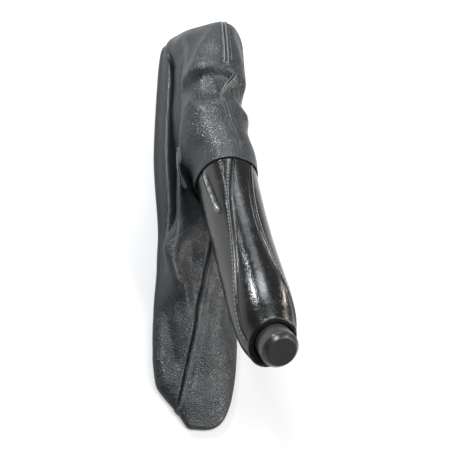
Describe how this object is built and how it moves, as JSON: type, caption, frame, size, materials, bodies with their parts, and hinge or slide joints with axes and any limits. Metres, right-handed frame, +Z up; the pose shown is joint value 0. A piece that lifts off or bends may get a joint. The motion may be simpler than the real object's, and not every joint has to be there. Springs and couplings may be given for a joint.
{
  "type": "parking brake lever",
  "caption": "Hand lever with a leather grip, thumb button and sewn leather gaiter, on a ratchet bracket that pulls a brake cable.",
  "frame": {"origin": "centre of the bracket's bolt pattern on the mounting face, straight below the lever's pivot", "axes": "+X along the lever towards the button, +Y to the left of the lever, +Z up from the mounting face"},
  "size_m": [0.3232, 0.074, 0.1373],
  "materials": {
    "black_steel": "black e-coat",
    "hard_steel": "hardened, lightly oiled",
    "zinc_steel": "zinc plated",
    "spring_steel": "drawn wire",
    "bronze": "sintered",
    "stop_rubber": "moulded",
    "frame_plastic": "fine moulded grain",
    "guide_plastic": "natural acetal",
    "core_plastic": "moulded",
    "button_plastic": "satin with worn bevel",
    "gaiter_leather": "pebbled grain, soft sheen",
    "grip_leather": "smooth, polished by use"
  },
  "bodies": {
    "base": {"mounting_bracket": "black_steel", "ratchet_sector": "hard_steel", "sector_rivets": "zinc_steel", "pivot_pin": "zinc_steel", "pivot_circlip": "black_steel", "pivot_washers": "zinc_steel", "stop_pin": "zinc_steel", "stop_buffer": "stop_rubber", "gaiter_frame": "frame_plastic", "gaiter_left": "gaiter_leather", "gaiter_right": "gaiter_leather"},
    "lever": {"lever_arm": "black_steel", "pivot_bush": "bronze", "lever_tube": "hard_steel", "pawl_pin": "zinc_steel", "pawl_spacers": "hard_steel", "pawl_spring": "spring_steel", "rod_guide_rear": "guide_plastic", "spring_stop": "guide_plastic", "rod_guide_front": "guide_plastic", "grip_core": "core_plastic", "grip_top_leather": "grip_leather", "grip_left_leather": "grip_leather", "grip_right_leather": "grip_leather", "button_guide": "guide_plastic", "gaiter_clamp": "frame_plastic", "return_spring": "spring_steel"},
    "button": {"release_button": "button_plastic", "button_clip": "zinc_steel"},
    "rod": {"release_rod": "zinc_steel", "spring_seat": "hard_steel"},
    "pawl": {"pawl": "hard_steel"},
    "trunnion": {"cable_trunnion": "zinc_steel"}
  },
  "joints": [
    {"name": "lever_pivot", "type": "hinge", "parent": "base", "child": "lever", "pos_m": [0, 0, 0.02], "axis": [0, -1, 0], "range_deg": [0, 27], "deforming": ["gaiter_left", "gaiter_right"]},
    {"name": "button_slide", "type": "slide", "parent": "lever", "child": "button", "axis": [-0.6626, 0, -0.749], "range_m": [0, 0.005], "stiffness_N_per_m": 900, "springref_m": -0.008, "deforming": ["return_spring", "pawl_spring"]},
    {"name": "rod_slide", "type": "slide", "parent": "lever", "child": "rod", "axis": [-0.9367, 0, -0.3502], "range_m": [0, 0.00567]},
    {"name": "pawl_swing", "type": "hinge", "parent": "lever", "child": "pawl", "pos_m": [0.04109, 0, 0.03002], "axis": [0, -1, 0], "range_deg": [0, 22.97]},
    {"name": "trunnion_swivel", "type": "hinge", "parent": "lever", "child": "trunnion", "pos_m": [0.00678, 0, 0.00759], "axis": [0, -1, 0], "range_deg": [-27, 0]}
  ],
  "couplings": [
    {"joint": "rod_slide", "follows": "button_slide", "ratio": 1.1326},
    {"joint": "pawl_swing", "follows": "button_slide", "rad_per_m": 80},
    {"joint": "trunnion_swivel", "follows": "lever_pivot", "ratio": -1}
  ]
}
